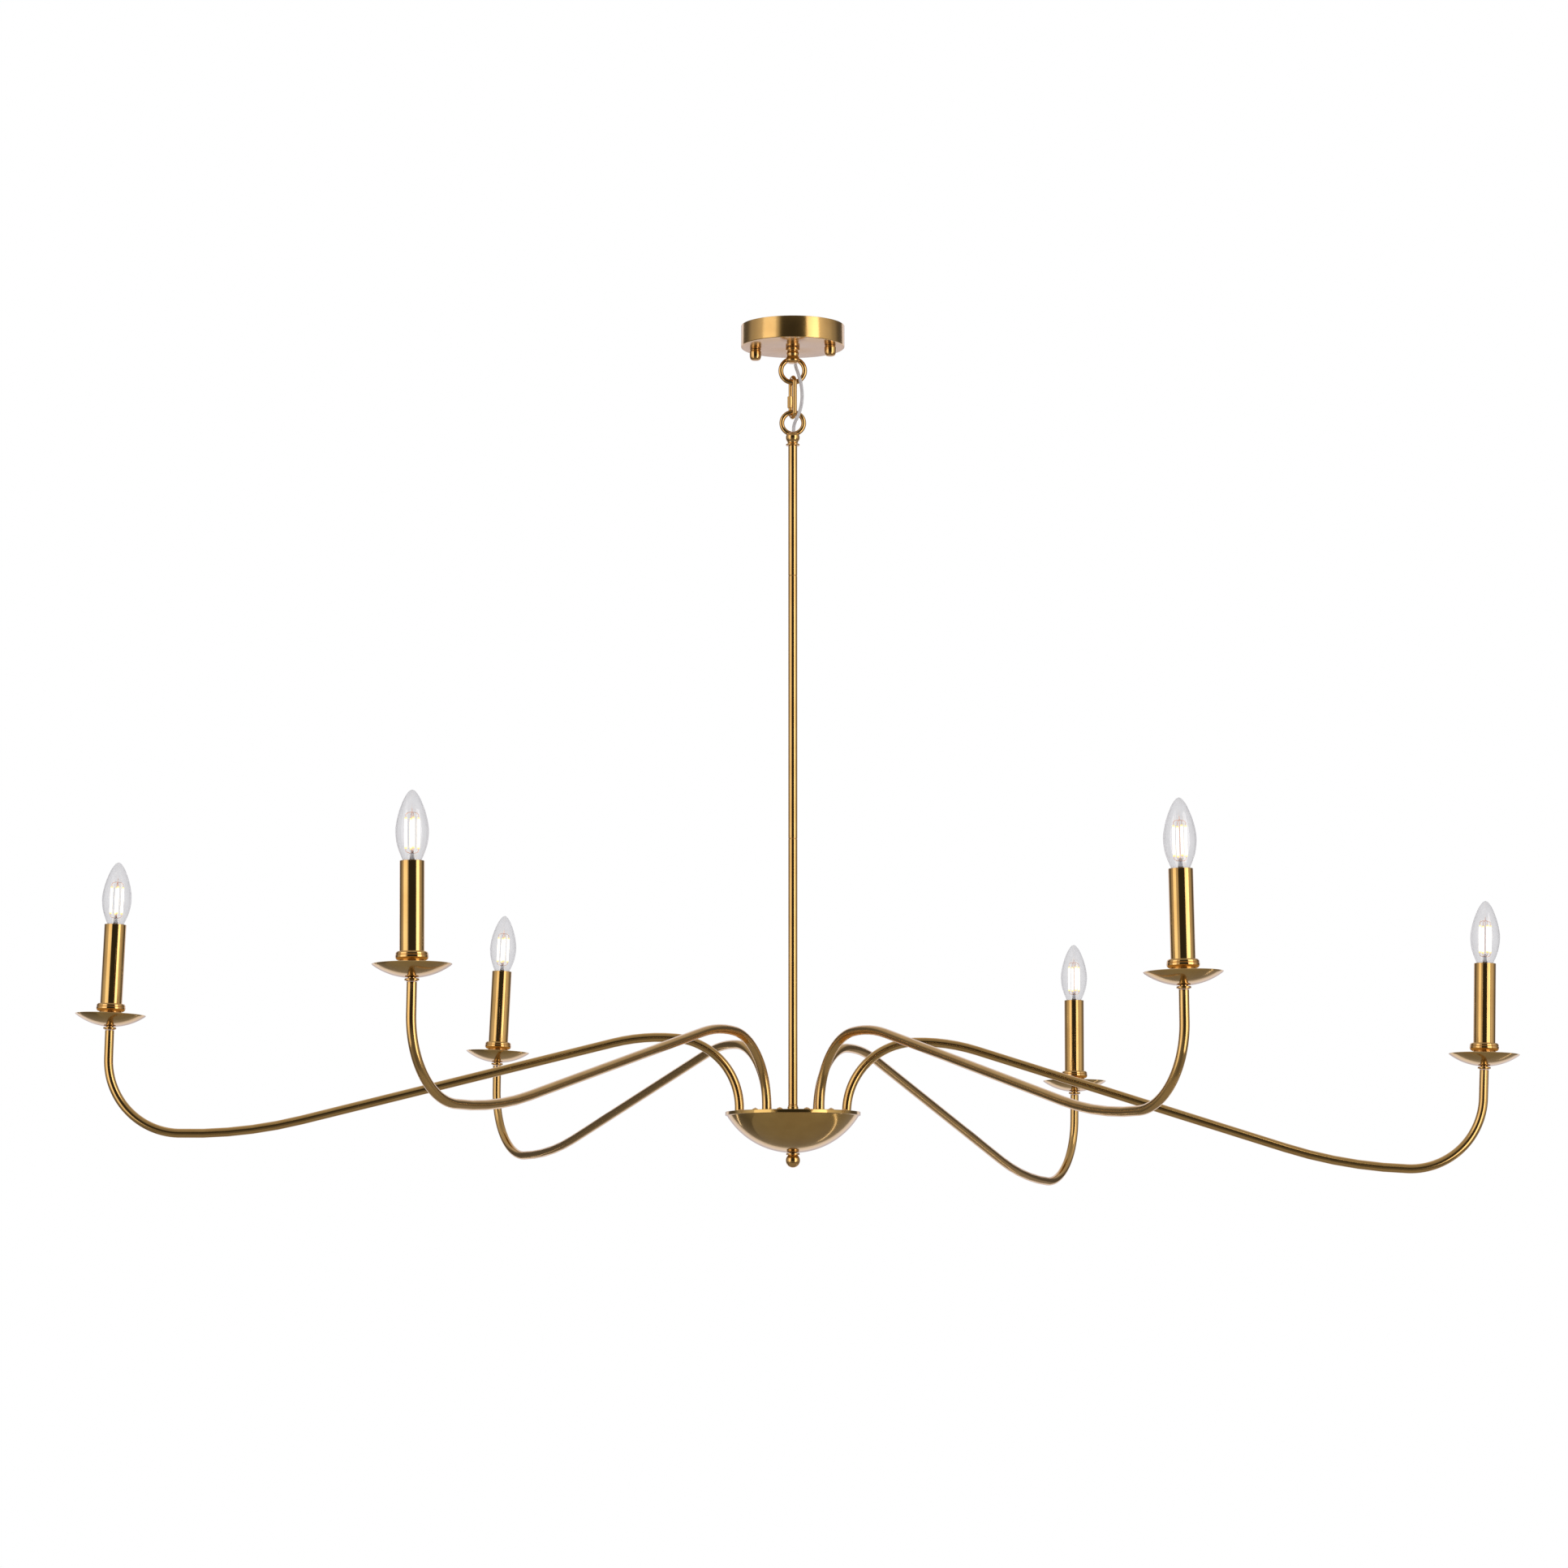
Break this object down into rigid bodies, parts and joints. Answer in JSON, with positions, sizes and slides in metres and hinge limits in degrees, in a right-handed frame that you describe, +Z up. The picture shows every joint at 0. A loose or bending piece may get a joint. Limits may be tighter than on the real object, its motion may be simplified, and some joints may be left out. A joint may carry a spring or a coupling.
{
  "type": "multi arm chandelier",
  "caption": "Hanging chandelier with long swept brass arms around a small bowl, each arm ending in a drip dish, a candle sleeve and a clear candle bulb.",
  "frame": {"origin": "centre of the canopy's open top, in the plane of the ceiling", "axes": "+X along the widest pair of opposite arms, to the right as seen from the front; +Y away from the front; +Z up"},
  "size_m": [1.6493, 1.4595, 0.9795],
  "materials": {
    "satin_brass": "brushed satin",
    "polished_brass": "polished",
    "zinc_steel": "zinc plated",
    "socket_plastic": "matte",
    "clear_glass": "clear",
    "clear_cord": "clear soft plastic"
  },
  "bodies": {
    "canopy": {"crossbar": "zinc_steel", "canopy_cup": "satin_brass", "bracket_screw_1": "zinc_steel", "bracket_screw_2": "zinc_steel", "hang_loop": "polished_brass"},
    "cap_nut_right": {"cap_nut_1": "polished_brass"},
    "cap_nut_left": {"cap_nut_2": "polished_brass"},
    "link": {"quick_link": "polished_brass", "supply_cord": "clear_cord"},
    "link_nut": {"link_nut": "polished_brass"},
    "frame": {"stem_loop": "polished_brass", "rod_top": "satin_brass", "rod_middle": "satin_brass", "rod_bottom": "satin_brass", "hub_plate": "satin_brass", "centre_tube": "zinc_steel"},
    "bowl": {"hub_bowl": "satin_brass", "finial": "polished_brass"},
    "arm_1": {"arm_tube_1": "satin_brass", "arm_collar_1": "polished_brass", "drip_dish_1": "satin_brass", "candle_cup_1": "polished_brass", "candle_sleeve_1": "satin_brass", "lamp_socket_1": "socket_plastic"},
    "bulb_1": {"bulb_1": "clear_glass"},
    "arm_2": {"arm_tube_2": "satin_brass", "arm_collar_2": "polished_brass", "drip_dish_2": "satin_brass", "candle_cup_2": "polished_brass", "candle_sleeve_2": "satin_brass", "lamp_socket_2": "socket_plastic"},
    "bulb_2": {"bulb_2": "clear_glass"},
    "arm_3": {"arm_tube_3": "satin_brass", "arm_collar_3": "polished_brass", "drip_dish_3": "satin_brass", "candle_cup_3": "polished_brass", "candle_sleeve_3": "satin_brass", "lamp_socket_3": "socket_plastic"},
    "bulb_3": {"bulb_3": "clear_glass"},
    "arm_4": {"arm_tube_4": "satin_brass", "arm_collar_4": "polished_brass", "drip_dish_4": "satin_brass", "candle_cup_4": "polished_brass", "candle_sleeve_4": "satin_brass", "lamp_socket_4": "socket_plastic"},
    "bulb_4": {"bulb_4": "clear_glass"},
    "arm_5": {"arm_tube_5": "satin_brass", "arm_collar_5": "polished_brass", "drip_dish_5": "satin_brass", "candle_cup_5": "polished_brass", "candle_sleeve_5": "satin_brass", "lamp_socket_5": "socket_plastic"},
    "bulb_5": {"bulb_5": "clear_glass"},
    "arm_6": {"arm_tube_6": "satin_brass", "arm_collar_6": "polished_brass", "drip_dish_6": "satin_brass", "candle_cup_6": "polished_brass", "candle_sleeve_6": "satin_brass", "lamp_socket_6": "socket_plastic"},
    "bulb_6": {"bulb_6": "clear_glass"}
  },
  "joints": [
    {"name": "link_swing", "type": "hinge", "parent": "canopy", "child": "link", "pos_m": [0, 0, -0.06615], "axis": [1, 0, 0], "range_deg": [-30, 30], "deforming": ["supply_cord"]},
    {"name": "stem_swing", "type": "hinge", "parent": "link", "child": "frame", "pos_m": [0, 0, -0.107], "axis": [0.3256, -0.9455, 0], "range_deg": [-30, 30]},
    {"name": "link_nut_unscrew", "type": "slide", "parent": "link", "child": "link_nut", "axis": [0, 0, 1], "range_m": [0, 0.011]},
    {"name": "cap_nut_right_unscrew", "type": "slide", "parent": "canopy", "child": "cap_nut_right", "axis": [0, 0, -1], "range_m": [0, 0.012]},
    {"name": "cap_nut_left_unscrew", "type": "slide", "parent": "canopy", "child": "cap_nut_left", "axis": [0, 0, -1], "range_m": [0, 0.012]},
    {"name": "bowl_drop", "type": "slide", "parent": "frame", "child": "bowl", "axis": [0, 0, -1], "range_m": [0, 0.05]},
    {"name": "arm_1_swivel", "type": "hinge", "parent": "frame", "child": "arm_1", "pos_m": [0.061, -0.00032, -0.91], "axis": [0, 0, 1], "range_deg": [-20, 20]},
    {"name": "bulb_1_out", "type": "slide", "parent": "arm_1", "child": "bulb_1", "axis": [0.0244, 0, 0.9997], "range_m": [0, 0.024]},
    {"name": "arm_2_swivel", "type": "hinge", "parent": "frame", "child": "arm_2", "pos_m": [0.02826, 0.05406, -0.91], "axis": [0, 0, 1], "range_deg": [-20, 20]},
    {"name": "bulb_2_out", "type": "slide", "parent": "arm_2", "child": "bulb_2", "axis": [0.0017, 0, 1], "range_m": [0, 0.024]},
    {"name": "arm_3_swivel", "type": "hinge", "parent": "frame", "child": "arm_3", "pos_m": [-0.02939, 0.05345, -0.91], "axis": [0, 0, 1], "range_deg": [-20, 20]},
    {"name": "bulb_3_out", "type": "slide", "parent": "arm_3", "child": "bulb_3", "axis": [0.0454, 0, 0.999], "range_m": [0, 0.024]},
    {"name": "arm_4_swivel", "type": "hinge", "parent": "frame", "child": "arm_4", "pos_m": [-0.06097, 0.00181, -0.91], "axis": [0, 0, 1], "range_deg": [-20, 20]},
    {"name": "bulb_4_out", "type": "slide", "parent": "arm_4", "child": "bulb_4", "axis": [0.0384, 0, 0.9993], "range_m": [0, 0.024]},
    {"name": "arm_5_swivel", "type": "hinge", "parent": "frame", "child": "arm_5", "pos_m": [-0.02985, -0.0532, -0.91], "axis": [0, 0, 1], "range_deg": [-20, 20]},
    {"name": "bulb_5_out", "type": "slide", "parent": "arm_5", "child": "bulb_5", "axis": [-0.007, 0, 1], "range_m": [0, 0.024]},
    {"name": "arm_6_swivel", "type": "hinge", "parent": "frame", "child": "arm_6", "pos_m": [0.03022, -0.05299, -0.91], "axis": [0, 0, 1], "range_deg": [-20, 20]},
    {"name": "bulb_6_out", "type": "slide", "parent": "arm_6", "child": "bulb_6", "axis": [-0.0175, 0, 0.9998], "range_m": [0, 0.024]}
  ]
}
